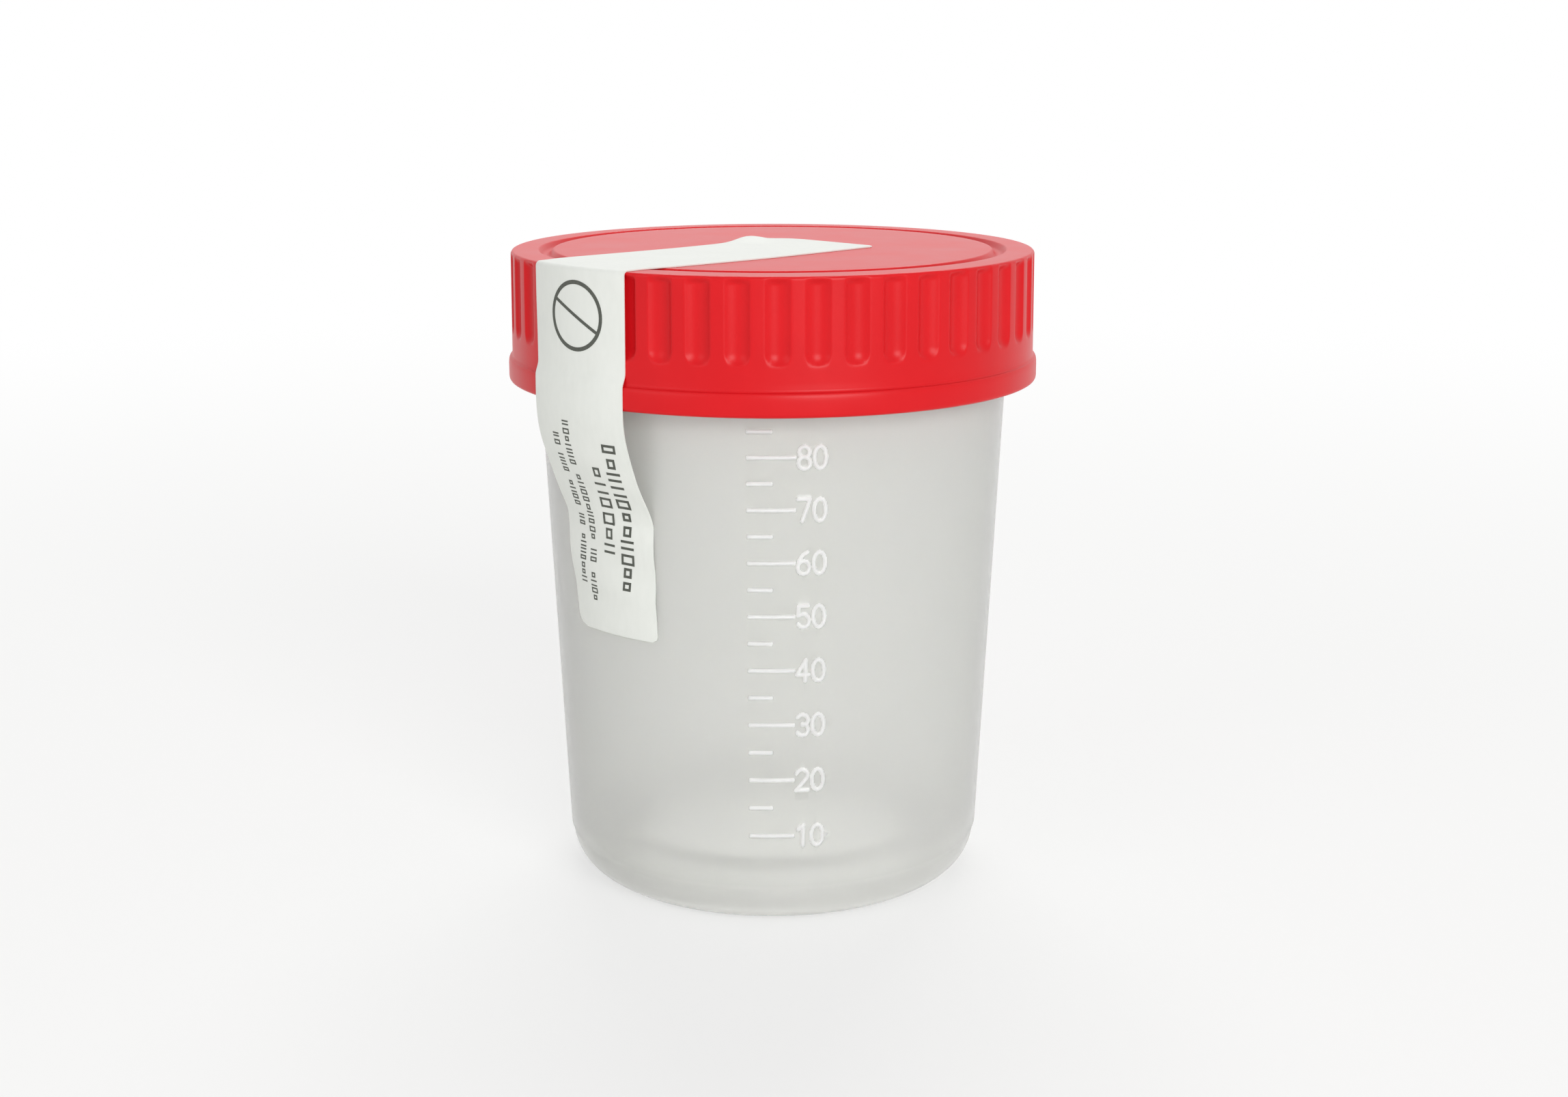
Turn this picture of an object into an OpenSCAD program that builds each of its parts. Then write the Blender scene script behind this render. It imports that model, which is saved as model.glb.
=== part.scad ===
// Screw-cap specimen container: moulded cup, fluted cap with liner, paper tamper seal.
// Millimetres. Z is up, the cup stands on Z = 0 and its axis is the Z axis.
// The front of the container, where the volume scale is, faces -Y.

/* [Cup] */
// Outer diameter that the wall would have at the standing surface
cup_base_diameter = 46; // [42:0.5:50]
// Height of the rim above the standing surface
cup_height = 67.7; // [60:0.1:80]
// Draft of the wall, degrees, opening upwards
cup_draft = 2.65; // [1.5:0.02:3.2]
// Wall thickness
cup_wall = 1.1; // [1:0.05:1.6]
// Floor thickness
floor_thickness = 1.4; // [1:0.1:2]
// Outer rounding between wall and standing ring
base_rounding = 4.7; // [3:0.1:5.5]
// Height that the middle of the floor is raised by
floor_raise = 4.2; // [2.5:0.1:5]
// Width of the ring that the cup stands on
standing_ring_width = 1.3; // [0.8:0.1:2]

/* [Neck] */
// Length of the straight neck that the cap screws on to
neck_length = 10.2; // [8:0.1:13]
// Step inwards from the wall to the neck
neck_step = 0.3; // [0.2:0.05:0.8]
// Rounding on both sides of the rim
rim_rounding = 0.35; // [0.2:0.05:0.45]

/* [Volume scale] */
// Lowest mark, millilitres
first_mark = 10; // [5:5:20]
// Step between marks, millilitres
mark_step = 5; // [5:5:10]
// Height that the marks stand proud of the wall
mark_proud = 0.25; // [0.15:0.05:0.4]
// Width of a mark, measured up the wall
mark_width = 0.55; // [0.4:0.05:0.8]
// Plain wall kept between the highest mark and the cap
mark_cap_gap = 1.2; // [0.5:0.1:5]
// Angle around the cup where every mark starts, degrees right of the front
mark_start = -6.2; // [-12:0.1:-4]
// Angle that a short mark covers
short_mark_angle = 6.2; // [4:0.1:8]
// Angle that a mark at each ten millilitres covers
long_mark_angle = 11.6; // [9:0.1:14]

/* [Cap] */
// Radial room between neck and skirt, where the thread runs
thread_room = 1.6; // [1.2:0.1:2]
// Skirt wall left behind the flutes
skirt_wall = 1.0; // [0.8:0.1:1.5]
// How far the skirt reaches down past the start of the neck
skirt_overlap = 1.3; // [0.5:0.1:3]
// Thickness of the cap's top plate
cap_top_thickness = 1.45; // [1.2:0.05:2]
// Draft of the skirt: how much wider it is at the flange than at the top
skirt_draft = 0.1; // [0.05:0.05:0.4]
// How far the lower flange stands out from the skirt
flange_proud = 0.4; // [0.35:0.05:0.7]
// Height of the lower flange
flange_height = 2.5; // [2:0.1:4]
// Rounding of the cap's top edge
cap_edge_rounding = 0.8; // [0.4:0.05:0.9]
// Drop from the flat middle of the top to its outer edge
top_drop = 0.2; // [0:0.05:0.5]
// Distance of the ring groove in the top from the cap's edge
ring_groove_inset = 3.8; // [3:0.1:8]
// Width of the ring groove
ring_groove_width = 1.6; // [1:0.1:2.4]
// Depth of the ring groove
ring_groove_depth = 0.7; // [0.2:0.05:0.8]

/* [Grip flutes] */
// Number of flutes around the skirt
flute_count = 45; // [30:1:50]
// Angle of the first flute, degrees right of the front
flute_start = 1; // [0:0.5:8]
// Width of a flute where it meets the skirt
flute_width = 2.6; // [2:0.1:2.8]
// Depth of a flute
flute_depth = 0.55; // [0.3:0.05:0.8]
// Plain band between the flutes and the flange
plain_band = 2.55; // [1.5:0.05:4]

/* [Liner] */
// Thickness of the sealing liner between rim and cap
liner_thickness = 1.0; // [0.8:0.1:1.5]
// Room between the liner's edge and the skirt
liner_clearance = 0.4; // [0.3:0.05:0.7]

/* [Tamper seal] */
// Width of the paper strip
seal_width = 14; // [10:0.5:18]
// Thickness of the paper
seal_thickness = 0.2; // [0.15:0.05:0.3]
// Angle of the strip around the container, degrees right of the front
seal_angle = -44; // [-80:0.5:-35]
// Height of the strip's lower end on the cup
seal_low_end = 31.2; // [20:0.1:38]
// Length of strip, below the cap, that stands away from the wall
seal_bridge = 10.2; // [7:0.1:14]
// How far the strip runs past the middle of the top
seal_far_end = 9; // [5:0.1:20]

/* [Hidden] */
$fn = 96;
eps = 0.01;
front = -90; // OpenSCAD angle of the front, the -Y side

// ---- cup, from its driving sizes
draft_rate = tan(cup_draft);
function wall_radius(z) = cup_base_diameter / 2 + draft_rate * z; // outside of the wall
function bore_radius(z) = wall_radius(z) - cup_wall;              // inside of the wall

neck_z = cup_height - neck_length;
neck_radius = wall_radius(neck_z) - neck_step;
mouth_radius = neck_radius - cup_wall;

ring_outer = cup_base_diameter / 2 - base_rounding;
ring_inner = ring_outer - standing_ring_width;
floor_slope = 1.2;                     // run of the raised floor's sloping side
floor_edge = ring_inner - floor_slope; // edge of the raised floor, underneath
floor_top = floor_raise + floor_thickness;
trough_z = floor_thickness + 0.4;      // bottom of the trough inside the standing ring

// points of an arc, centre c, from angle a to angle b, in n steps
function arc(c, r, a, b, n) =
    [for (i = [0:n]) let (t = a + (b - a) * i / n) [c[0] + r * cos(t), c[1] + r * sin(t)]];

// where the trough's curve meets the inside wall
trough_centre = [ring_outer, base_rounding + trough_z - cup_wall];
trough_radius = bore_radius(trough_centre[1]) - ring_outer;
trough_side = [for (p = arc(trough_centre, trough_radius, -90, 0, 8))
    [p[0], trough_centre[1] + (p[1] - trough_centre[1]) * (trough_centre[1] - trough_z) / trough_radius]];

cup_outside = concat(
    [[0, floor_raise], [floor_edge - 0.5, floor_raise], [floor_edge, floor_raise - 0.3],
     [ring_inner - 0.25, 0.35], [ring_inner, 0]],
    arc([ring_outer, base_rounding], base_rounding, -90, 0, 10),
    [[wall_radius(neck_z - 0.4), neck_z - 0.4], [neck_radius, neck_z],
     [neck_radius, cup_height - rim_rounding]],
    arc([neck_radius - rim_rounding, cup_height - rim_rounding], rim_rounding, 15, 90, 4));

cup_inside = concat(
    [[0, floor_top], [floor_edge + 0.5, floor_top], [floor_edge + 1, floor_top - 0.4],
     [ring_outer - 0.4, trough_z + 0.15]],
    trough_side,
    [[bore_radius(neck_z - 2), neck_z - 2], [mouth_radius, neck_z],
     [mouth_radius, cup_height - rim_rounding]],
    arc([mouth_radius + rim_rounding, cup_height - rim_rounding], rim_rounding, 165, 90, 4));

// ---- volume scale: where each volume's surface lies in the cup
function total(v, i = 0) = i < len(v) ? v[i] + total(v, i + 1) : 0;
// volume of a ring of straight-sided section, revolved about the axis, in cubic mm
function revolved(p) = total([for (i = [0:len(p) - 1])
    let (a = p[i], b = p[(i + 1) % len(p)])
    PI / 3 * (b[1] - a[1]) * (a[0] * a[0] + a[0] * b[0] + b[0] * b[0])]);
trough_volume = revolved(concat([[0, floor_top], [floor_edge + 0.5, floor_top],
    [floor_edge + 1, floor_top - 0.4], [ring_outer - 0.4, trough_z + 0.15]],
    trough_side, [[bore_radius(floor_top), floor_top]]));
// height of the surface when the cup holds ml millilitres
function surface_z(ml) =
    (pow(pow(bore_radius(floor_top), 3) + 3 * draft_rate * (ml * 1000 - trough_volume) / PI, 1 / 3)
     - cup_base_diameter / 2 + cup_wall) / draft_rate;

// the highest mark is the last whole step that clears the cap by mark_cap_gap
highest_z = cup_height - neck_length - skirt_overlap - mark_cap_gap - mark_width / 2;
highest_ml = (trough_volume + PI / 3 / draft_rate
    * (pow(bore_radius(highest_z), 3) - pow(bore_radius(floor_top), 3))) / 1000;
last_mark = first_mark + mark_step * floor((highest_ml - first_mark) / mark_step);

// ---- cap, from the neck it covers
liner_z = cup_height;
cap_under = liner_z + liner_thickness;
cap_top = cap_under + cap_top_thickness;
cap_bottom = neck_z - skirt_overlap;
skirt_inner = neck_radius + thread_room;
crest_low = skirt_inner + skirt_wall + flute_depth; // skirt radius between flutes, at the flange
crest_high = crest_low - skirt_draft;               // the same at the top edge
flange_radius = crest_low + flange_proud;
flange_top = cap_bottom + flange_height;
edge_z = cap_top - top_drop;
groove_radius = crest_high - ring_groove_inset;
lip = 0.3; // small breaks on the cap's lower edges
liner_radius = skirt_inner - liner_clearance;

cap_edge = arc([crest_high - cap_edge_rounding, edge_z - cap_edge_rounding],
    cap_edge_rounding, 0, 90, 6);

cap_section = concat(
    [[0, cap_under], [skirt_inner, cap_under], [skirt_inner, cap_bottom + lip],
     [skirt_inner + lip, cap_bottom], [flange_radius - lip, cap_bottom],
     [flange_radius, cap_bottom + lip], [flange_radius, flange_top - lip],
     [flange_radius - lip, flange_top], [crest_low, flange_top]],
    cap_edge,
    [[groove_radius + ring_groove_width / 2, cap_top],
     [groove_radius + ring_groove_width / 5, cap_top - ring_groove_depth],
     [groove_radius - ring_groove_width / 5, cap_top - ring_groove_depth],
     [groove_radius - ring_groove_width / 2, cap_top],
     [0, cap_top]]);

// ---- flutes: a round-ended cutter, just deep enough to leave flute_width
flute_low_z = flange_top + plain_band;
flute_cutter = (flute_width * flute_width / 4 + flute_depth * flute_depth) / (2 * flute_depth);
flute_end_z = flute_low_z + sqrt(max(0, flute_cutter * flute_cutter
    - pow(flute_cutter - flute_depth, 2)));
function crest_radius(z) =
    crest_high + skirt_draft * (edge_z - z) / (edge_z - flange_top);

// ---- tamper seal: the strip's inner face down the top, over the edge and down the skirt
seal_step_z = flange_top + 1.4; // the paper leaves the skirt here to reach over the flange
seal_cap_face = concat(
    [[0, cap_top], [groove_radius + ring_groove_width / 2, cap_top]],
    [for (i = [len(cap_edge) - 1:-1:0]) cap_edge[i]],
    [[crest_radius(seal_step_z), seal_step_z], [flange_radius, flange_top - lip],
     [flange_radius, cap_bottom]]);
seal_cap_outer_edge = arc([crest_high - cap_edge_rounding, edge_z - cap_edge_rounding],
    cap_edge_rounding + seal_thickness, 0, 90, 6);
seal_cap_back = concat(
    [[flange_radius + seal_thickness, cap_bottom],
     [flange_radius + seal_thickness, flange_top - lip],
     [crest_radius(seal_step_z) + seal_thickness, seal_step_z]],
    seal_cap_outer_edge,
    [[groove_radius + ring_groove_width / 2, cap_top + seal_thickness],
     [0, cap_top + seal_thickness]]);

// below the cap the strip stands away from the wall and comes back to it
seal_bridge_z = cap_bottom - seal_bridge;
bridge_steps = 8;
function bridge_radius(t) = let (z = seal_bridge_z + t * seal_bridge)
    wall_radius(z) + (flange_radius - wall_radius(z)) * pow(sin(90 * t), 1.3);
seal_cup_face = concat([[wall_radius(seal_low_end), seal_low_end]],
    [for (i = [0:bridge_steps]) let (t = i / bridge_steps)
        [bridge_radius(t), seal_bridge_z + t * seal_bridge]]);
seal_cup_back = [for (i = [len(seal_cup_face) - 1:-1:0])
    [seal_cup_face[i][0] + seal_thickness, seal_cup_face[i][1]]];

// one raised mark of the volume scale, running round the wall
module scale_mark(ml) {
    z = surface_z(ml);
    low = z - mark_width / 2;
    high = z + mark_width / 2;
    sweep = ml % 10 == 0 ? long_mark_angle : short_mark_angle;
    rotate([0, 0, front + mark_start])
        rotate_extrude(angle = sweep)
            polygon([[wall_radius(low) - cup_wall / 2, low],
                [wall_radius(low) + eps, low],
                [wall_radius(low) + mark_proud, low + mark_width / 4],
                [wall_radius(high) + mark_proud, high - mark_width / 4],
                [wall_radius(high) + eps, high],
                [wall_radius(high) - cup_wall / 2, high]]);
}

// the moulded cup: drafted wall, raised floor, standing ring, neck and volume scale
module cup() {
    color([0.86, 0.87, 0.85, 0.6]) {
        rotate_extrude()
            polygon(concat(cup_outside, [for (i = [len(cup_inside) - 1:-1:0]) cup_inside[i]]));
        for (ml = [first_mark:mark_step:last_mark]) scale_mark(ml);
    }
}

// the cutter for one grip flute: a round bar that ends in a ball, leaning with the skirt
module flute_cut() {
    lean = atan(skirt_draft / (edge_z - flange_top));
    translate([crest_radius(flute_end_z) - flute_depth + flute_cutter, 0, flute_end_z])
        rotate([0, -lean, 0]) {
            sphere(r = flute_cutter);
            cylinder(r = flute_cutter, h = cap_top - flute_end_z + 2);
        }
}

// the moulded cap: top plate with ring groove, skirt with grip flutes, lower flange
module cap() {
    color([0.89, 0.19, 0.22])
        difference() {
            rotate_extrude() polygon(cap_section);
            for (i = [0:flute_count - 1])
                rotate([0, 0, front + flute_start + i * 360 / flute_count]) flute_cut();
        }
}

// the soft disc that seals cap to rim
module cap_liner() {
    color([0.93, 0.93, 0.9])
        translate([0, 0, liner_z]) cylinder(r = liner_radius, h = liner_thickness);
}

// keeps the strip that runs from far_end behind the axis out to the seal's own side
module seal_strip(far_end) {
    rotate([0, 0, front + seal_angle])
        translate([-far_end, -seal_width / 2, 0])
            cube([far_end + flange_radius + 5, seal_width, cap_top + 5]);
}

// the seal's half on the cap: across the top, over the edge and down the skirt
module cap_seal() {
    color([0.91, 0.92, 0.89])
        intersection() {
            rotate_extrude() polygon(concat(seal_cap_face, seal_cap_back));
            seal_strip(seal_far_end);
        }
}

// the seal's half on the cup, which meets the other half at the cap's lower edge
module cup_seal() {
    color([0.91, 0.92, 0.89])
        intersection() {
            rotate_extrude() polygon(concat(seal_cup_face, seal_cup_back));
            seal_strip(0);
        }
}

cup();
cap();
cap_liner();
cap_seal();
cup_seal();
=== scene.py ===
import math
import bpy
import numpy as np
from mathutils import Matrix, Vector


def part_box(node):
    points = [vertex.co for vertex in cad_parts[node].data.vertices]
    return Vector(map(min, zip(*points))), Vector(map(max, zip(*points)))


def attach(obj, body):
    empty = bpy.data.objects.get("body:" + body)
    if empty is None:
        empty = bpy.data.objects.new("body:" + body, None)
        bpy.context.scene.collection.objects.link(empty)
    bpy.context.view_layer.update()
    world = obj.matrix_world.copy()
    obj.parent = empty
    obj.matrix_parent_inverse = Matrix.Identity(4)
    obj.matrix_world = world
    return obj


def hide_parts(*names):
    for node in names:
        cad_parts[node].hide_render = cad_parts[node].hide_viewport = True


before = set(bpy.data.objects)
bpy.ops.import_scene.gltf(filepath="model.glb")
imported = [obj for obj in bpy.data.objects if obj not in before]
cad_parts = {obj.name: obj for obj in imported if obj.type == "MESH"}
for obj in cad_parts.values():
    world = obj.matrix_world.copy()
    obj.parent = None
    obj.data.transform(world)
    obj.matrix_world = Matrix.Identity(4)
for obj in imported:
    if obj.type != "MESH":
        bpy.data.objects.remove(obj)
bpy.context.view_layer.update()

# ---------------------------------------------------------------------------
# Cup
# One injection moulding in natural polypropylene: a drafted wall, a floor raised
# inside a standing ring, a neck with a coarse thread, and a slightly raised scale.
# ---------------------------------------------------------------------------
MM = 0.001                  # every size below is in millimetres and is scaled once, here
FRONT = -math.pi / 2        # the front of the container is the -Y side

RIM_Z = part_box("cup")[1].z / MM
BASE_RADIUS = 23.0          # radius the wall would have at the standing surface
DRAFT = math.tan(math.radians(2.65))
CUP_WALL = 1.1
NECK_Z = RIM_Z - 10.2       # where the wall steps in to the neck
CAP_LOW = NECK_Z - 1.3      # lower edge of the closed cap
RIM_ROUND = 0.35
BASE_ROUND = 4.7
RING_OUTER = BASE_RADIUS - BASE_ROUND
RING_INNER = RING_OUTER - 1.3
FLOOR_RAISE = 4.2
FLOOR_TOP = FLOOR_RAISE + 1.4
FLOOR_EDGE = RING_INNER - 1.2
TROUGH_Z = 1.8              # bottom of the trough inside the standing ring
CUP_PLASTIC = "#F7F7F4"
CUP_CLOUD = "#F2F3EF"
FROSTED = "#FFFFFF"
FROSTING = 0.4              # how much rougher and less clear the scale is than the wall
CLEARNESS = 0.6             # share of light that goes through the wall; the rest is scattered in it
RING_CLEARNESS = 0.35       # the same in the thick ring and rounded edge, which cool slowly and turn milky
FLOOR_CLEARNESS = 0.97      # the same in the raised floor, round the gate
MILKY_REACH = 21.8          # how far from the gate, in the base's middle, the plastic is milky
CLEAR_REACH = 24.5          # where it is as clear as the wall


def wall_radius(z):
    """Outside of the wall: the radius grows by the draft's tangent for each mm of height."""
    return BASE_RADIUS + DRAFT * z


NECK_RADIUS = wall_radius(NECK_Z) - 0.3
MOUTH_RADIUS = NECK_RADIUS - CUP_WALL


def arc(centre, radii, start, end, count):
    """Points (r, z) of an elliptic arc: centre + radii * (cos t, sin t), t from start to end degrees."""
    t = np.radians(np.linspace(start, end, count))
    return np.stack([centre[0] + radii[0] * np.cos(t), centre[1] + radii[1] * np.sin(t)], 1)


def line(start, end, step):
    """Points on a straight line, close to one step apart, without the first."""
    start, end = np.array(start, float), np.array(end, float)
    count = max(1, round(float(np.hypot(*(end - start))) / step))
    return start + (end - start) * (np.arange(1, count + 1) / count)[:, None]


def round_corners(corners, radii, count=5):
    """An outline whose corners are replaced by quadratic curves.
    Each curve leaves its corner's sides at the given radius and is drawn toward the corner:
    (1-t)^2 * before + 2t(1-t) * corner + t^2 * after."""
    corners = np.array(corners, float)
    out = [corners[:1]]
    t = np.linspace(0, 1, count)[:, None]
    for before, corner, after, radius in zip(corners, corners[1:], corners[2:], radii):
        a = corner + (before - corner) * min(0.5, radius / np.hypot(*(before - corner)))
        b = corner + (after - corner) * min(0.5, radius / np.hypot(*(after - corner)))
        out.append((1 - t) ** 2 * a + 2 * t * (1 - t) * corner + t ** 2 * b)
    out.append(corners[-1:])
    return np.concatenate(out)


# the volume scale: where each volume's surface lies in the cup
SCALE_MARKS = range(10, 90, 5)
MARK_WIDTH = 0.55
MARK_PROUD = 0.17
MARK_SIDE = 0.24            # width of a mark's sloping side
MARK_END = 0.35             # degrees over which its ends slope
MARK_START = -6.2           # degrees right of the front
SHORT_MARK = 6.2
LONG_MARK = 11.6
TROUGH_VOLUME = 1877.0      # cubic mm that the trough holds below the raised floor
FIGURE_HEIGHT = 2.3
FIGURE_WIDTH = 1.22
FIGURE_PITCH = 1.62
FIGURE_STROKE = 0.36
FIGURE_SIDE = 0.18          # width of a stroke's sloping side
FIGURE_PROUD = 0.14
FIGURE_START = 5.75


def surface_z(ml):
    """Height of the liquid's surface: the bore is a cone, so its radius cubed grows evenly with volume."""
    bore = wall_radius(FLOOR_TOP) - CUP_WALL
    cubed = bore ** 3 + 3 * DRAFT * (ml * 1000 - TROUGH_VOLUME) / math.pi
    return (cubed ** (1 / 3) - BASE_RADIUS + CUP_WALL) / DRAFT


def figure_strokes(figure):
    """A figure as polylines in a cell 1 high and about 0.55 wide, made of arcs and straight strokes."""
    w = FIGURE_WIDTH / FIGURE_HEIGHT
    top, low = (w / 2, 0.74), (w / 2, 0.28)
    strokes = {
        "0": [arc((w / 2, 0.5), (w / 2, 0.5), 0, 360, 17)],
        "1": [np.array([(w * 0.2, 0.8), (w * 0.62, 1), (w * 0.62, 0)])],
        "2": [np.concatenate([arc(top, (w / 2, 0.26), 165, -35, 10), [(0, 0), (w, 0)]])],
        "3": [np.concatenate([arc(top, (w / 2, 0.26), 150, -90, 9), arc(low, (w / 2, 0.28), 90, -150, 9)])],
        "4": [np.array([(w * 0.74, 0), (w * 0.74, 1), (0, 0.3), (w, 0.3)])],
        "5": [np.concatenate([[(w * 0.9, 1), (w * 0.12, 1), (w * 0.06, 0.55)],
                              arc((w / 2, 0.31), (w / 2, 0.31), 120, -150, 11)])],
        "6": [arc((w / 2, 0.3), (w / 2, 0.3), 0, 360, 13),
              np.array([(0, 0.3), (w * 0.12, 0.62), (w * 0.45, 0.9), (w * 0.8, 1)])],
        "7": [np.array([(0, 1), (w, 1), (w * 0.36, 0)])],
        "8": [arc((w / 2, 0.75), (w * 0.44, 0.25), 0, 360, 13),
              arc((w / 2, 0.26), (w / 2, 0.27), 0, 360, 13)],
    }
    return [s * FIGURE_HEIGHT for s in strokes[figure]]


def stroke_distance(x, y, polyline):
    """Distance from each point (x, y) to a polyline: the least of its distances to the segments."""
    nearest = np.full(x.shape, 1e9)
    for (ax, ay), (bx, by) in zip(polyline[:-1], polyline[1:]):
        dx, dy = bx - ax, by - ay
        t = np.clip(((x - ax) * dx + (y - ay) * dy) / (dx * dx + dy * dy + 1e-12), 0, 1)
        nearest = np.minimum(nearest, np.hypot(x - ax - t * dx, y - ay - t * dy))
    return nearest


def ease(x):
    """0 below 0, 1 above 1, and 3x^2 - 2x^3 between."""
    x = np.clip(x, 0, 1)
    return x * x * (3 - 2 * x)


def scale_relief(degrees, z):
    """How far the scale stands out of the wall: flat-topped bars with eased sides, and figures whose
    strokes have eased sides too."""
    relief = np.zeros(np.broadcast(degrees, z).shape)
    for ml in SCALE_MARKS:
        long = ml % 10 == 0
        end = MARK_START + (LONG_MARK if long else SHORT_MARK)
        across = ease((MARK_WIDTH / 2 - np.abs(z - surface_z(ml))) / MARK_SIDE)
        along = ease((degrees - MARK_START) / MARK_END) * ease((end - degrees) / MARK_END)
        relief = np.maximum(relief, MARK_PROUD * across * along)
        if not long:
            continue
        low = surface_z(ml) - FIGURE_HEIGHT / 2
        rows = (z > low - 0.5) & (z < low + FIGURE_HEIGHT + 0.5)
        x = (degrees - FIGURE_START) * math.radians(1) * wall_radius(low)
        for place, figure in enumerate(str(ml)):
            for polyline in figure_strokes(figure):
                d = stroke_distance(x - place * FIGURE_PITCH, z - low, polyline)
                side = ease((FIGURE_STROKE / 2 + FIGURE_SIDE / 3 - d) / FIGURE_SIDE)
                relief = np.maximum(relief, FIGURE_PROUD * side * rows)
    return relief


# the thread: one start, right-handed, five millimetres to the turn
THREAD_PITCH = 5.0
THREAD_TURNS = 1.35
NECK_THREAD_Z = NECK_Z + 2.1
NECK_THREAD_HEIGHT = 1.05
NECK_THREAD_HALF = 0.95     # half the width of its foot


def thread_relief(degrees, z, start_z, half_width, height):
    """Height of a helical ridge: its centre climbs one pitch in a turn, its flanks are eased,
    and it grows from nothing and dies away over a sixth of a turn at its ends."""
    relief = np.zeros(np.broadcast(degrees, z).shape)
    for turn in range(-1, 3):
        turned = np.mod(degrees, 360) / 360 + turn
        off = np.abs(z - start_z - THREAD_PITCH * turned) / half_width
        ends = ease(turned * 6) * ease((THREAD_TURNS - turned) * 6)
        relief = np.maximum(relief, height * ease((1 - off) * 1.6) * ends)
    return relief


def revolve(profile, degrees, relief):
    """Points of a surface of revolution. Point (r, z) of the profile goes round the axis at each angle,
    with relief added to r: (r cos a, r sin a, z). The angles are degrees right of the front."""
    angle = FRONT + np.radians(degrees)[None, :]
    radius = profile[:, :1] + relief
    z = np.broadcast_to(profile[:, 1:], radius.shape)
    return np.stack([radius * np.cos(angle), radius * np.sin(angle), z], 2)


def closed_round(points):
    """Vertices and faces of a revolved grid that starts and ends on the axis: the first and last rows
    become one point each, joined to their neighbours by triangles."""
    rows, columns = points.shape[:2]
    middle = points[1:-1].reshape(-1, 3)
    vertices = np.concatenate([points[:1, 0], middle, points[-1:, 0]])
    start = 1 + np.arange((rows - 3) * columns).reshape(rows - 3, columns)
    right = np.roll(start, -1, axis=1)
    quads = np.stack([start, right, right + columns, start + columns], 2).reshape(-1, 4)
    first = 1 + np.arange(columns)
    last = first + (rows - 3) * columns
    top = np.full(columns, len(vertices) - 1)
    fans = np.concatenate([
        np.stack([np.roll(first, -1), first, np.zeros(columns, int)], 1),
        np.stack([last, np.roll(last, -1), top], 1)])
    return vertices, [quads, fans]


SHARP_EDGE = math.radians(50)       # edges that turn more than this aren't smoothed


def mesh_piece(name, vertices, faces, material, body, slot):
    """A smooth-shaded object at the origin from points in millimetres and arrays of faces."""
    mesh = bpy.data.meshes.new(name)
    mesh.from_pydata((vertices * MM).tolist(), [], [f for block in faces for f in block.tolist()])
    mesh.polygons.foreach_set("use_smooth", np.ones(len(mesh.polygons), bool))
    mesh.set_sharp_from_angle(angle=SHARP_EDGE)
    mesh.materials.append(material)
    mesh.update()
    piece = bpy.data.objects.new(name, mesh)
    bpy.context.scene.collection.objects.link(piece)
    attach(piece, body)
    return piece


def linear(colour):
    """A hex sRGB colour as linear RGBA: each channel follows the sRGB curve."""
    c = np.array([int(colour[i:i + 2], 16) for i in (1, 3, 5)]) / 255
    c = np.where(c <= 0.04045, c / 12.92, ((c + 0.055) / 1.055) ** 2.4)
    return (*c.tolist(), 1.0)


MIX_A, MIX_B, MIX_OUT = 6, 7, 2     # the colour sockets of a Mix node


def add(tree, kind, links=(), **settings):
    """Adds a node. settings are its properties; links pairs each input with a value or with another
    node's output."""
    node = tree.nodes.new(kind)
    for key, value in settings.items():
        setattr(node, key, value)
    for socket, value in dict(links).items():
        if isinstance(value, bpy.types.NodeSocket):
            tree.links.new(value, node.inputs[socket])
        else:
            node.inputs[socket].default_value = value
    return node


def new_material(name):
    """An empty material and its node tree."""
    material = bpy.data.materials.new(name)
    material.use_nodes = True
    material.node_tree.nodes.clear()
    return material, material.node_tree


def finish_material(tree, shader):
    """Joins the shader to the material's output."""
    add(tree, "ShaderNodeOutputMaterial", {"Surface": shader.outputs[0]})


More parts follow.
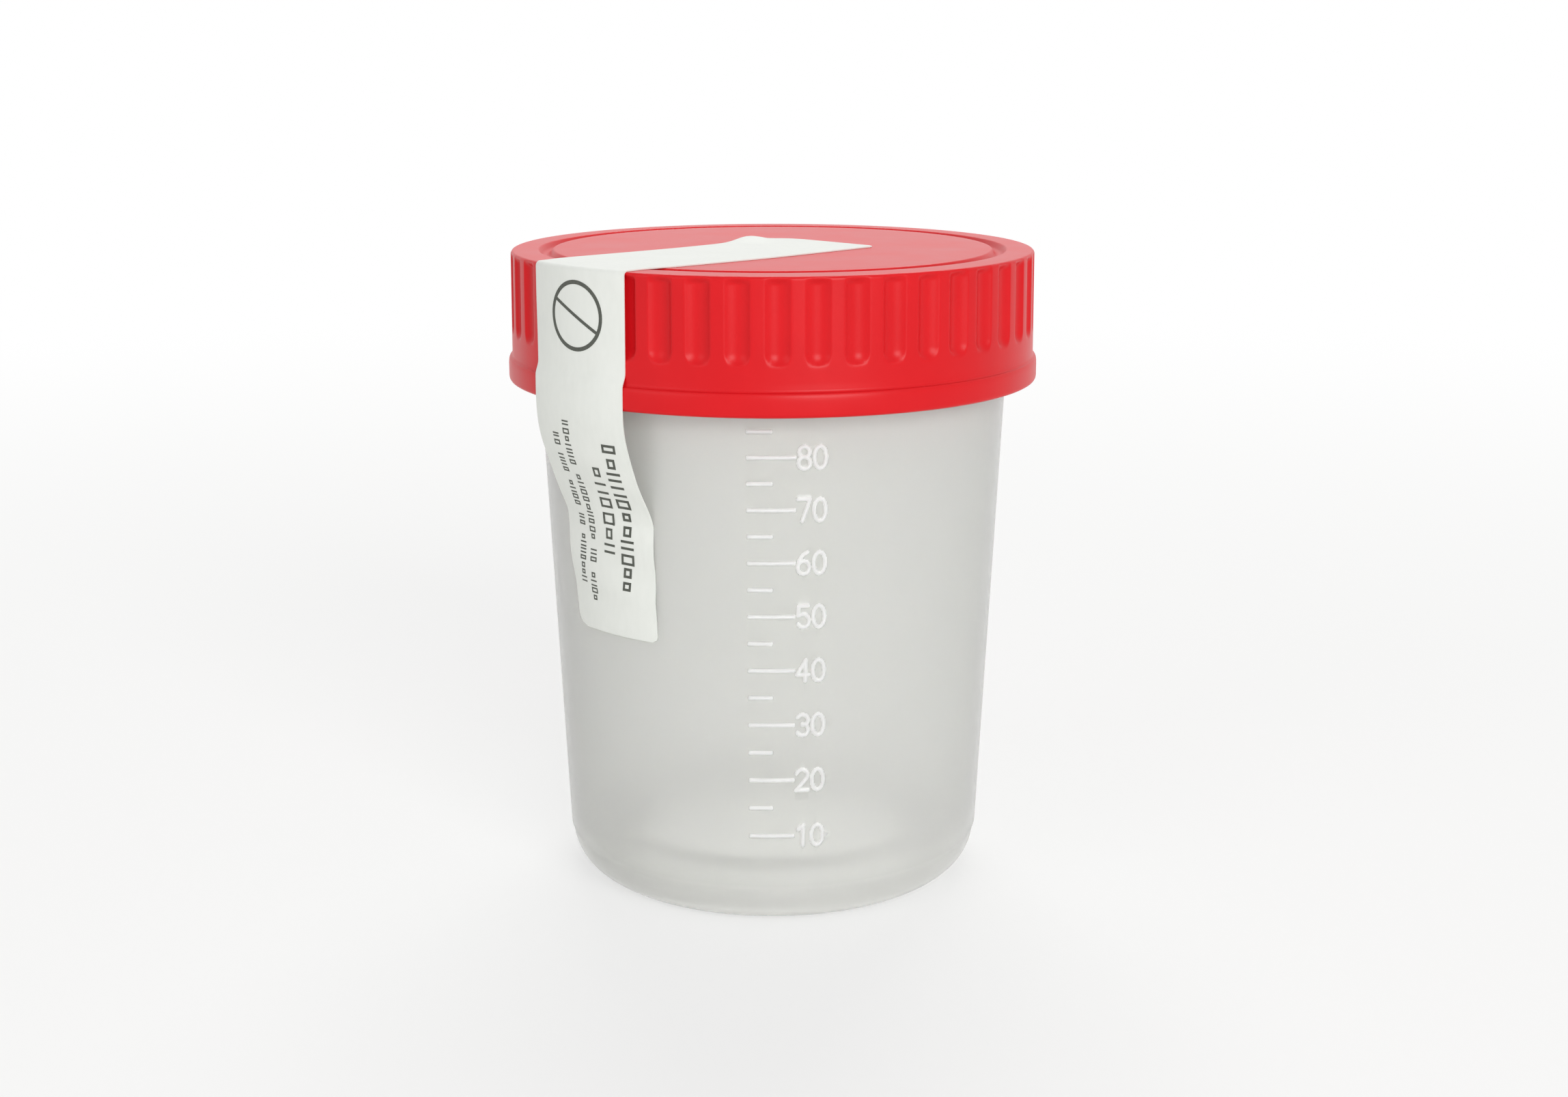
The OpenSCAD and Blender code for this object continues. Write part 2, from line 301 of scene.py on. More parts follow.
def natural_polypropylene():
    """Injection-moulded natural PP: milky, most of all in the thick ring, lets light through blurred,
    with a satin skin that is cloudy over a centimetre or so and very finely uneven. The raised scale
    is frosted: its share of full height, kept on the mesh as "raised", makes it rougher and milkier."""
    material, tree = new_material("natural_polypropylene")
    place = add(tree, "ShaderNodeTexCoord").outputs["Object"]
    cloud = add(tree, "ShaderNodeTexNoise", {"Vector": place, "Scale": 1 / (14 * MM), "Detail": 3.0})
    skin = add(tree, "ShaderNodeTexNoise", {"Vector": place, "Scale": 1 / (0.9 * MM), "Detail": 2.0})
    rough = add(tree, "ShaderNodeMapRange", {"Value": cloud.outputs["Fac"], "To Min": 0.18, "To Max": 0.27})
    raised = add(tree, "ShaderNodeAttribute", attribute_name="raised")
    rough = add(tree, "ShaderNodeMath", {0: raised.outputs["Fac"], 1: FROSTING, 2: rough.outputs["Result"]},
                operation="MULTIPLY_ADD")
    tint = add(tree, "ShaderNodeMix", {0: cloud.outputs["Fac"], MIX_A: linear(CUP_CLOUD),
                                       MIX_B: linear(CUP_PLASTIC)}, data_type="RGBA")
    tint = add(tree, "ShaderNodeMix", {0: raised.outputs["Fac"], MIX_A: tint.outputs[MIX_OUT],
                                       MIX_B: linear(FROSTED)}, data_type="RGBA")
    from_gate = add(tree, "ShaderNodeVectorMath", {0: place}, operation="LENGTH")
    clear = add(tree, "ShaderNodeMapRange", {
        "Value": from_gate.outputs["Value"], "From Min": MILKY_REACH * MM, "From Max": CLEAR_REACH * MM,
        "To Min": RING_CLEARNESS, "To Max": CLEARNESS}, interpolation_type="SMOOTHSTEP")
    floor = add(tree, "ShaderNodeMapRange", {
        "Value": from_gate.outputs["Value"], "From Min": (FLOOR_EDGE + 0.5) * MM, "From Max": RING_OUTER * MM,
        "To Min": FLOOR_CLEARNESS, "To Max": RING_CLEARNESS}, interpolation_type="SMOOTHSTEP")
    clear = add(tree, "ShaderNodeMath", {0: clear.outputs["Result"], 1: floor.outputs["Result"]},
                operation="MAXIMUM")
    clear = add(tree, "ShaderNodeMath", {0: raised.outputs["Fac"], 1: -FROSTING, 2: clear.outputs[0]},
                operation="MULTIPLY_ADD", use_clamp=True)
    bump = add(tree, "ShaderNodeBump", {"Height": skin.outputs["Fac"], "Strength": 0.25,
                                        "Distance": 0.02 * MM})
    shader = add(tree, "ShaderNodeBsdfPrincipled", {
        "Base Color": tint.outputs[MIX_OUT], "Roughness": rough.outputs[0],
        "IOR": 1.49, "Transmission Weight": clear.outputs[0], "Subsurface Weight": 1.0,
        "Subsurface Radius": (1.0, 1.0, 1.0), "Subsurface Scale": 0.6 * MM,
        "Normal": bump.outputs["Normal"]})
    finish_material(tree, shader)
    return material


# rows of the outside: floor underside, ring, rounded edge, wall with its scale, neck with its thread
MARK_ROWS = np.array([-0.33, -0.27, -0.2, -0.13, 0, 0.13, 0.2, 0.27, 0.33])
FIGURE_ROWS = np.linspace(-0.62, 0.62, 23) * FIGURE_HEIGHT
wall_rows = [np.linspace(BASE_ROUND + 0.4, NECK_Z - 1.0, 44)]
for ml in SCALE_MARKS:
    wall_rows.append(surface_z(ml) + MARK_ROWS)
    if ml % 10 == 0:
        wall_rows.append(surface_z(ml) + FIGURE_ROWS)
wall_z = np.unique(np.round(np.concatenate(wall_rows), 3))
wall_z = wall_z[np.insert(np.diff(wall_z) > 0.04, 0, True)]
neck_rows = np.arange(NECK_Z + 0.3, RIM_Z - RIM_ROUND, 0.2)

outside = np.concatenate([
    round_corners([(0, FLOOR_RAISE), (FLOOR_EDGE - 0.2, FLOOR_RAISE), (RING_INNER - 0.1, 0),
                   (RING_OUTER, 0)], (1.0, 0.5)),
    arc((RING_OUTER, BASE_ROUND), (BASE_ROUND, BASE_ROUND), -80, 0, 14),
    np.stack([wall_radius(wall_z), wall_z], 1),
    [(wall_radius(NECK_Z - 0.55), NECK_Z - 0.55), (wall_radius(NECK_Z - 0.4) - 0.02, NECK_Z - 0.4),
     (NECK_RADIUS + 0.1, NECK_Z - 0.12), (NECK_RADIUS, NECK_Z + 0.05)],
    np.stack([np.full(len(neck_rows), NECK_RADIUS), neck_rows], 1),
    arc((NECK_RADIUS - RIM_ROUND, RIM_Z - RIM_ROUND), (RIM_ROUND, RIM_ROUND), 0, 90, 6)])
trough_centre_z = BASE_ROUND + TROUGH_Z - CUP_WALL
trough_width = wall_radius(trough_centre_z) - CUP_WALL - RING_OUTER
inside = np.concatenate([
    arc((MOUTH_RADIUS + RIM_ROUND, RIM_Z - RIM_ROUND), (RIM_ROUND, RIM_ROUND), 90, 180, 6),
    line((MOUTH_RADIUS, RIM_Z - RIM_ROUND), (MOUTH_RADIUS, NECK_Z), 1.5),
    line((MOUTH_RADIUS, NECK_Z), (wall_radius(NECK_Z - 2) - CUP_WALL, NECK_Z - 2), 1),
    line((wall_radius(NECK_Z - 2) - CUP_WALL, NECK_Z - 2),
         (wall_radius(trough_centre_z + 0.3) - CUP_WALL, trough_centre_z + 0.3), 2.0),
    arc((RING_OUTER, trough_centre_z), (trough_width, trough_centre_z - TROUGH_Z), 0, -90, 14),
    round_corners([(RING_OUTER - 0.2, TROUGH_Z), (RING_OUTER - 0.6, TROUGH_Z), (FLOOR_EDGE + 0.9, FLOOR_TOP),
                   (0, FLOOR_TOP)], (0.5, 1.0))])

# columns every 3 degrees, and closer at the ends of the marks and in the figures
MARK_COLUMNS = np.array([-0.6, -0.36, -0.24, -0.12, 0, 0.2])
fine_turn = [MARK_START - MARK_COLUMNS, MARK_START + SHORT_MARK + MARK_COLUMNS,
             MARK_START + LONG_MARK + MARK_COLUMNS, np.arange(FIGURE_START - 0.5, FIGURE_START + 7.4, 0.28)]
cup_angles = np.unique(np.round(np.concatenate([np.arange(-180, 180, 3)] + fine_turn), 2))
cup_angles = cup_angles[np.insert(np.diff(cup_angles) > 0.09, 0, True)]

relief = np.zeros((len(outside), len(cup_angles)))
height = outside[:, 1:]
on_wall = (outside[:, 1] > BASE_ROUND + 0.3) & (outside[:, 1] < NECK_Z - 0.6)
on_neck = (outside[:, 1] > NECK_Z + 0.25) & (outside[:, 0] > NECK_RADIUS - 0.01)
relief[on_wall] = scale_relief(cup_angles[None, :], height[on_wall])
relief[on_neck] = thread_relief(cup_angles[None, :], height[on_neck], NECK_THREAD_Z, NECK_THREAD_HALF,
                                NECK_THREAD_HEIGHT)

cup_profile = np.concatenate([outside, inside[1:]])
cup_relief = np.concatenate([relief, np.zeros((len(inside) - 1, len(cup_angles)))])
cup_points, cup_faces = closed_round(revolve(cup_profile, cup_angles, cup_relief))
cup = mesh_piece("cup_moulding", cup_points, cup_faces, natural_polypropylene(), "cup", "cup")
# the scale's share of a mark's full height at each vertex, without the thread
on_mesh = cup_relief * ((cup_profile[:, 1:] < NECK_Z) / MARK_PROUD)
on_mesh = np.concatenate([on_mesh[0, :1], on_mesh[1:-1].ravel(), on_mesh[-1, :1]])
cup.data.attributes.new("raised", "FLOAT", "POINT").data.foreach_set("value", on_mesh.astype(np.float32))
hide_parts("cup")


# ---------------------------------------------------------------------------
# Liner
# A soft disc of foamed polyethylene, punched from sheet and pressed into the cap.
# It seals against the rim, which leaves a faint ring in its lower face.
# ---------------------------------------------------------------------------
def foamed_polyethylene():
    """Closed-cell PE foam: matt white, with cells about a quarter of a millimetre across."""
    material, tree = new_material("foamed_polyethylene")
    place = add(tree, "ShaderNodeTexCoord").outputs["Object"]
    cells = add(tree, "ShaderNodeTexVoronoi", {"Vector": place, "Scale": 1 / (0.25 * MM)})
    bump = add(tree, "ShaderNodeBump", {"Height": cells.outputs["Distance"], "Strength": 0.35,
                                        "Distance": 0.05 * MM})
    tint = add(tree, "ShaderNodeMix", {0: cells.outputs["Distance"], MIX_A: linear("#ECEBE4"),
                                       MIX_B: linear("#F6F5F0")}, data_type="RGBA")
    shader = add(tree, "ShaderNodeBsdfPrincipled", {
        "Base Color": tint.outputs[MIX_OUT], "Roughness": 0.75, "IOR": 1.5,
        "Subsurface Weight": 0.15, "Subsurface Scale": 0.6 * MM, "Normal": bump.outputs["Normal"]})
    finish_material(tree, shader)
    return material


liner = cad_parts["cap_liner"]
liner.data.materials.clear()
liner.data.materials.append(foamed_polyethylene())


# ---------------------------------------------------------------------------
# Cap
# One moulding in red polyethylene: a top plate with a ring groove, a skirt scooped
# by 45 round-ended grip flutes, a wider lower flange, and the thread inside.
# ---------------------------------------------------------------------------
cap_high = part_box("cap")[1]
CAP_TOP = cap_high.z / MM
CAP_UNDER = CAP_TOP - 1.45
SKIRT_INNER = NECK_RADIUS + 1.6
CREST_LOW = SKIRT_INNER + 1.55
CREST_HIGH = CREST_LOW - 0.1
FLANGE_RADIUS = cap_high.x / MM
FLANGE_TOP = CAP_LOW + 2.5
EDGE_Z = CAP_TOP - 0.05
EDGE_ROUND = 0.35
GROOVE_RADIUS = CREST_HIGH - 3.8
GROOVE_WIDTH = 1.6
GROOVE_DEPTH = 0.7
FLUTES = 45
FLUTE_START = 1.0           # degrees right of the front
FLUTE_WIDTH = 2.6
FLUTE_DEPTH = 0.55
# radius of the round bar whose chord at that depth is as long as the flute is wide
FLUTE_CUTTER = (FLUTE_WIDTH ** 2 / 4 + FLUTE_DEPTH ** 2) / (2 * FLUTE_DEPTH)
FLUTE_LOW_Z = FLANGE_TOP + 2.55
FLUTE_END_Z = FLUTE_LOW_Z + math.sqrt(FLUTE_CUTTER ** 2 - (FLUTE_CUTTER - FLUTE_DEPTH) ** 2)
FLUTE_FADE = 0.9            # how far below the top's edge a flute begins to run out
FLUTE_SOFTNESS = 0.07       # how softly a flute's edges run into the skirt
CAP_THREAD_Z = NECK_THREAD_Z - 2.1
CAP_THREAD_HEIGHT = 1.15
CAP_THREAD_HALF = 0.9       # half the width of its foot
CAP_RED = "#D9151D"
CAP_CLOUD = "#CE1018"


def flute_relief(degrees, z, radius):
    """How far a flute is scooped into the skirt: the near side of a round bar that ends in a ball,
    met by the skirt in a soft edge: (x + sqrt(x^2 + softness^2)) / 2 of the scoop's depth x."""
    off = np.radians(np.mod(degrees - FLUTE_START + 180 / FLUTES, 360 / FLUTES) - 180 / FLUTES)
    centre = radius - FLUTE_DEPTH + FLUTE_CUTTER
    below = np.minimum(z - FLUTE_END_Z, 0)
    chord = FLUTE_CUTTER ** 2 - below ** 2 - (centre * np.sin(off)) ** 2
    scoop = radius - centre * np.cos(off) + np.sqrt(np.maximum(chord, 0))
    return -(scoop + np.sqrt(scoop ** 2 + FLUTE_SOFTNESS ** 2)) / 2


def moulded_polyethylene():
    """Injection-moulded HDPE in solid red: a satin gloss that is a little cloudy over some millimetres,
    with the fine grain of a spark-eroded mould."""
    material, tree = new_material("moulded_polyethylene")
    place = add(tree, "ShaderNodeTexCoord").outputs["Object"]
    cloud = add(tree, "ShaderNodeTexNoise", {"Vector": place, "Scale": 1 / (6 * MM), "Detail": 4.0})
    grain = add(tree, "ShaderNodeTexNoise", {"Vector": place, "Scale": 1 / (0.35 * MM), "Detail": 2.0})
    rough = add(tree, "ShaderNodeMapRange", {"Value": cloud.outputs["Fac"], "To Min": 0.3, "To Max": 0.4})
    tint = add(tree, "ShaderNodeMix", {0: cloud.outputs["Fac"], MIX_A: linear(CAP_CLOUD),
                                       MIX_B: linear(CAP_RED)}, data_type="RGBA")
    bump = add(tree, "ShaderNodeBump", {"Height": grain.outputs["Fac"], "Strength": 0.3,
                                        "Distance": 0.015 * MM})
    shader = add(tree, "ShaderNodeBsdfPrincipled", {
        "Base Color": tint.outputs[MIX_OUT], "Roughness": rough.outputs["Result"], "IOR": 1.53,
        "Specular IOR Level": 0.2,
        "Subsurface Weight": 0.08, "Subsurface Scale": 0.8 * MM, "Normal": bump.outputs["Normal"]})
    finish_material(tree, shader)
    return material


def crest_radius(z):
    """Radius of the skirt between flutes, which leans in by the draft from flange to edge."""
    return CREST_HIGH + (CREST_LOW - CREST_HIGH) * (EDGE_Z - z) / (EDGE_Z - FLANGE_TOP)


cap_inner_z = np.arange(CAP_UNDER - 0.3, CAP_LOW + 0.6, -0.3)
skirt_z = np.concatenate([
    np.linspace(FLANGE_TOP + 0.6, FLUTE_LOW_Z - 0.2, 5), np.linspace(FLUTE_LOW_Z - 0.05, FLUTE_END_Z, 13),
    np.linspace(FLUTE_END_Z + 0.6, EDGE_Z - FLUTE_FADE - 0.1, 5),
    np.linspace(EDGE_Z - FLUTE_FADE, EDGE_Z - EDGE_ROUND - 0.03, 6)])
cap_profile = np.concatenate([
    [(0, CAP_UNDER), (SKIRT_INNER - 2, CAP_UNDER), (SKIRT_INNER - 0.25, CAP_UNDER),
     (SKIRT_INNER - 0.06, CAP_UNDER - 0.08)],
    np.stack([np.full(len(cap_inner_z), SKIRT_INNER), cap_inner_z], 1),
    round_corners([(SKIRT_INNER, CAP_LOW + 0.55), (SKIRT_INNER + 0.05, CAP_LOW), (FLANGE_RADIUS, CAP_LOW),
                   (FLANGE_RADIUS, FLANGE_TOP - 0.1), (CREST_LOW, FLANGE_TOP + 0.1),
                   (CREST_LOW, FLANGE_TOP + 0.55)], (0.35, 0.45, 0.7, 0.4)),
    np.stack([crest_radius(skirt_z), skirt_z], 1),
    arc((CREST_HIGH - EDGE_ROUND, EDGE_Z - EDGE_ROUND), (EDGE_ROUND, EDGE_ROUND), 0, 88, 8),
    round_corners([(CREST_HIGH - EDGE_ROUND - 0.2, EDGE_Z + 0.005),
                   (GROOVE_RADIUS + GROOVE_WIDTH / 2, CAP_TOP),
                   (GROOVE_RADIUS + GROOVE_WIDTH / 5, CAP_TOP - GROOVE_DEPTH),
                   (GROOVE_RADIUS - GROOVE_WIDTH / 5, CAP_TOP - GROOVE_DEPTH),
                   (GROOVE_RADIUS - GROOVE_WIDTH / 2, CAP_TOP), (GROOVE_RADIUS - 3, CAP_TOP)],
                  (0.16, 0.3, 0.3, 0.16)),
    line((GROOVE_RADIUS - 3, CAP_TOP), (0, CAP_TOP), 5)])

# 16 columns to a flute, closest at its two edges
flute_half = 180 / FLUTES
flute_turn = np.array([0, 1.1, 1.9, 2.3, 2.5, 2.65, 2.85, 3.2])
flute_turn = np.concatenate([-flute_turn[:0:-1], flute_turn, [flute_half]]) + FLUTE_START
cap_angles = (np.arange(FLUTES)[:, None] * 2 * flute_half + flute_turn[None, :]).ravel()

cap_relief = np.zeros((len(cap_profile), len(cap_angles)))
z_of = cap_profile[:, 1:]
r_of = cap_profile[:, :1]
on_skirt = (z_of[:, 0] > FLANGE_TOP + 0.55) & (r_of[:, 0] > CREST_HIGH - EDGE_ROUND - 0.02)
under_edge = np.minimum(z_of, EDGE_Z - EDGE_ROUND)
flutes = flute_relief(cap_angles[None, :], z_of, crest_radius(under_edge))
cap_relief[on_skirt] = (flutes * ease((EDGE_Z - z_of) / FLUTE_FADE))[on_skirt]
on_bore = (np.abs(r_of[:, 0] - SKIRT_INNER) < 1e-6) & (z_of[:, 0] < CAP_UNDER)
cap_relief[on_bore] = -thread_relief(cap_angles[None, :], z_of[on_bore], CAP_THREAD_Z, CAP_THREAD_HALF,
                                     CAP_THREAD_HEIGHT)
cap_points, cap_faces = closed_round(revolve(cap_profile, cap_angles, cap_relief))
cap = mesh_piece("cap_moulding", cap_points, cap_faces, moulded_polyethylene(), "cap", "cap")
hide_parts("cap")


# ---------------------------------------------------------------------------
# Tamper seal
# One strip of gummed white paper, stuck across the top, over the edge and down the
# wall. It bridges the step under the cap, and it tears there when the cap turns.
# ---------------------------------------------------------------------------
SEAL_ANGLE = math.radians(-44)
OUTWARD = np.array([math.sin(SEAL_ANGLE), -math.cos(SEAL_ANGLE)])
ACROSS = np.array([math.cos(SEAL_ANGLE), math.sin(SEAL_ANGLE)])
PAPER = 0.14
PAPER_GAP = 0.02            # between the paper and what it lies on
SEAL_FAR_END = 7.4          # how far past the cap's middle the strip ends
SEAL_LOW_Z = 31.3
SEAL_BRIDGE_Z = CAP_LOW - 12.6          # where the strip meets the wall
SEAL_LEFT, SEAL_RIGHT = -6.85, 6.45     # the strip's edges where it passes the cap's lower edge
CAP_WIDENING = 0.15         # how much further left the left edge is on the top
TOP_WIDENING = 0.55         # how much further right the right edge is on the top
LEFT_TAPER, RIGHT_TAPER = 1.2, 0.2      # how much each edge comes in at the low end
FAR_CORNERS = (3.2, 0.9)    # radii of the strip's left and right corners at its far end
LOW_CORNERS = (1.6, 0.6)    # and at its low end
TOP_SHIFT = 1.4             # the strip lies this far to the right on the top
# the pucker and the crease: height, place outwards and across, and half width each way
PUCKER = (0.55, -1.8, -5.2, 2.3, 1.9)
CREASE = (0.16, 1.0, 2.0, 0.8, 3.0)
CREASE_SLANT = 0.25
WALL_WAVE = 0.1             # half the height of the strip's wave on the wall
PAPER_WHITE = "#EBEDE8"
PAPER_FLECK = "#DDE0DA"
INK = "#3C3F38"
WORN_INK = "#5B5E56"


def bump_height(shape, u, v):
    """A rounded bump in the paper: height * exp(-((u - u0) / du)^2 - ((v - v0) / dv)^2)."""
    height, u0, v0, du, dv = shape
    return height * np.exp(-((u - u0) / du) ** 2 - ((v - v0) / dv) ** 2)


def seal_on_cap(s, v):
    """Where the strip on the cap lies. s is its length from the top edge's crest, minus inwards on the
    top and plus down the skirt; v is the place across it. On the top it is flat; past the edge it
    follows the skirt's radius, so its u is sqrt(radius^2 - v^2)."""
    corner = CREST_HIGH - EDGE_ROUND
    bend = EDGE_ROUND * math.pi / 2
    turn = np.clip(s / bend + 0.5, 0, 1) * math.pi / 2
    inward = np.minimum(s + bend / 2, 0)
    down = np.maximum(s - bend / 2, 0)
    radius = corner + inward + EDGE_ROUND * np.sin(turn)
    z = EDGE_Z - EDGE_ROUND + EDGE_ROUND * np.cos(turn) - down
    radius = radius + (CREST_LOW - CREST_HIGH) * down / (EDGE_Z - FLANGE_TOP)
    # over the step above the flange
    radius = radius + (FLANGE_RADIUS - CREST_LOW) * ease((FLANGE_TOP + 1.3 - z) / 1.5)
    on_top = ease(-inward / 9)
    v = v + TOP_SHIFT * ease(-inward / 22)
    full = np.sqrt(np.maximum((corner + EDGE_ROUND) ** 2 - v ** 2, 1))
    u = np.where(inward < 0, radius - (1 - on_top) * (corner + EDGE_ROUND - full),
                 np.sqrt(np.maximum(radius ** 2 - v ** 2, 1)))
    rise = ease(-inward / (corner - GROOVE_RADIUS)) * (CAP_TOP - EDGE_Z)
    bumps = bump_height(PUCKER, u, v) + bump_height(CREASE, u + CREASE_SLANT * v, v)
    return u, v, z + rise + bumps


def seal_on_cup(z, v):
    """Where the strip on the cup lies: it stands off from the flange, swings in to the wall along a
    power of a sine, and follows the wall down with a slight wave."""
    t = np.clip((z - SEAL_BRIDGE_Z) / (CAP_LOW - SEAL_BRIDGE_Z), 0, 1)
    wall = wall_radius(z)
    radius = wall + (FLANGE_RADIUS - wall) * np.sin(math.pi / 2 * t) ** 1.3
    radius = radius + WALL_WAVE * (1 + np.sin(z * 0.9 + v * 0.35)) * (1 - t) * ease((z - 33) / 4)
    return np.sqrt(np.maximum(radius ** 2 - v ** 2, 1)), v, z


def place_strip(u, v, z):
    """Points in the frame from u outwards along the strip, v across it and the height z."""
    xy = u[..., None] * OUTWARD + v[..., None] * ACROSS
    return np.concatenate([xy, np.broadcast_to(z, u.shape)[..., None]], -1)


CUP_MIDDLE = np.array([0, 0, 35.0])     # a point inside the container, which faces point away from


def sheet_shell(middle, low, high):
    """A closed shell from a grid of points: two copies, low and high mm along the grid's outward normal,
    which is the cross product of its two directions, joined round the border."""
    normal = np.cross(np.gradient(middle, axis=0), np.gradient(middle, axis=1))
    normal /= np.linalg.norm(normal, axis=2, keepdims=True) + 1e-12
    if np.sum(normal * (middle - CUP_MIDDLE)) < 0:
        return sheet_shell(middle[:, ::-1], low, high)
    rows, columns = middle.shape[:2]
    both = np.concatenate([(middle + normal * high).reshape(-1, 3), (middle + normal * low).reshape(-1, 3)])
    at = np.arange(rows * columns).reshape(rows, columns)
    quad = np.stack([at[:-1, :-1], at[1:, :-1], at[1:, 1:], at[:-1, 1:]], 2).reshape(-1, 4)
    rim = np.concatenate([at[0, :-1], at[:-1, -1], at[-1, :0:-1], at[:0:-1, 0]])
    after = np.roll(rim, -1)
    under = rows * columns
    sides = np.stack([rim, after, after + under, rim + under], 1)
    return both, [quad, quad[:, ::-1] + under, sides]


def join_shells(shells):
    """Several shells as one set of vertices and faces."""
    vertices, faces, count = [], [], 0
    for points, blocks in shells:
        vertices.append(points)
        faces += [block + count for block in blocks]
        count += len(points)
    return np.concatenate(vertices), faces


def gummed_paper():
    """Uncoated label paper: matt, near white, with fibres a millimetre or two long that show
    as a faint fleck and a faint tooth."""
    material, tree = new_material("gummed_paper")
    place = add(tree, "ShaderNodeTexCoord").outputs["Object"]
    stretched = add(tree, "ShaderNodeMapping", {"Vector": place, "Scale": (1.0, 1.0, 0.35)})
    fleck = add(tree, "ShaderNodeTexNoise", {"Vector": stretched.outputs["Vector"], "Scale": 1 / (0.6 * MM),
                                             "Detail": 5.0})
    broad = add(tree, "ShaderNodeTexNoise", {"Vector": place, "Scale": 1 / (5 * MM), "Detail": 2.0})
    both = add(tree, "ShaderNodeMath", {0: fleck.outputs["Fac"], 1: broad.outputs["Fac"]},
               operation="MULTIPLY")
    tint = add(tree, "ShaderNodeMix", {0: both.outputs[0], MIX_A: linear(PAPER_WHITE),
                                       MIX_B: linear(PAPER_FLECK)}, data_type="RGBA")
    bump = add(tree, "ShaderNodeBump", {"Height": fleck.outputs["Fac"], "Strength": 0.35,
                                        "Distance": 0.03 * MM})
    shader = add(tree, "ShaderNodeBsdfPrincipled", {
        "Base Color": tint.outputs[MIX_OUT], "Roughness": 0.62, "IOR": 1.5,
        "Normal": bump.outputs["Normal"]})
    finish_material(tree, shader)
    return material


def printing_ink():
    """Black flexographic ink soaked into paper: matt, broken up a little where the fibres show."""
    material, tree = new_material("printing_ink")
    place = add(tree, "ShaderNodeTexCoord").outputs["Object"]
    wear = add(tree, "ShaderNodeTexNoise", {"Vector": place, "Scale": 1 / (0.4 * MM), "Detail": 3.0})
    tint = add(tree, "ShaderNodeMix", {0: wear.outputs["Fac"], MIX_A: linear(INK),
                                       MIX_B: linear(WORN_INK)}, data_type="RGBA")
    shader = add(tree, "ShaderNodeBsdfPrincipled", {"Base Color": tint.outputs[MIX_OUT], "Roughness": 0.6})
    finish_material(tree, shader)
    return material


def strip_grid(s, left, right, columns):
    """Grids of s and v for a strip whose edges are left and right at each s."""
    w = np.linspace(0, 1, columns)[None, :]
    return np.broadcast_to(s[:, None], (len(s), columns)), left[:, None] * (1 - w) + right[:, None] * w


def corner_cut(distance, radius):
    """How much a rounded corner takes off the width, at a distance d from the end:
    radius - sqrt(2 radius d - d^2)."""
    d = np.clip(distance, 0, radius)
    return radius - np.sqrt(np.maximum(2 * radius * d - d * d, 0))


label_paper = gummed_paper()
label_ink = printing_ink()

# the half on the cap: s runs from the far end on the top to the cap's lower edge
skirt_length = EDGE_Z - EDGE_ROUND - CAP_LOW + EDGE_ROUND * math.pi / 4
s_far = -(CREST_HIGH - EDGE_ROUND + EDGE_ROUND * math.pi / 4 + SEAL_FAR_END)
cap_s = np.unique(np.concatenate([np.linspace(s_far, s_far + 3.5, 12), np.linspace(s_far + 3.5, -1.5, 40),
                                  np.linspace(-1.5, 1.5, 31), np.linspace(1.5, skirt_length, 36)]))
cap_left = SEAL_LEFT - CAP_WIDENING * ease((9 - cap_s) / 7) + corner_cut(cap_s - s_far, FAR_CORNERS[0])
cap_right = SEAL_RIGHT + TOP_WIDENING * ease((-1 - cap_s) / 6) - corner_cut(cap_s - s_far, FAR_CORNERS[1])
cap_grid = strip_grid(cap_s, cap_left, cap_right, 25)
cap_seal = mesh_piece("cap_seal_paper", *sheet_shell(place_strip(*seal_on_cap(*cap_grid)), PAPER_GAP, PAPER),
                      label_paper, "cap", "seal_paper")
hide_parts("cap_seal")

# the half on the cup: from the cap's lower edge down to the end on the wall
cup_z = np.unique(np.concatenate([np.linspace(CAP_LOW, SEAL_BRIDGE_Z - 1, 44),
                                  np.linspace(SEAL_BRIDGE_Z - 1, SEAL_LOW_Z, 40)]))[::-1]
slim = ease((44 - cup_z) / 12)
cup_left = SEAL_LEFT + slim * LEFT_TAPER + corner_cut(cup_z - SEAL_LOW_Z, LOW_CORNERS[0])
cup_right = SEAL_RIGHT - slim * RIGHT_TAPER - corner_cut(cup_z - SEAL_LOW_Z, LOW_CORNERS[1])
cup_grid = strip_grid(cup_z, cup_left, cup_right, 25)
cup_seal = mesh_piece("cup_seal_paper", *sheet_shell(place_strip(*seal_on_cup(*cup_grid)), PAPER_GAP, PAPER),
                      label_paper, "cup", "seal_paper")
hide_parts("cup_seal")

# print on the cap's half: a plain ring with a bar across it
RING_Z = 65.3
RING_SIZE = (3.75, 3.6)     # its radii across and along the strip
RING_LINE = 0.42
BAR_LINE = 0.34
BAR_TILT = math.radians(-27)
BAR_REACH = RING_SIZE[0] - 0.2
INK_LOW, INK_HIGH = PAPER + 0.004, PAPER + 0.02     # the ink's two faces, above the strip's underside


def skirt_s(z):
    """Length down the strip at a height on the skirt."""
    return EDGE_Z - EDGE_ROUND - z + EDGE_ROUND * math.pi / 4


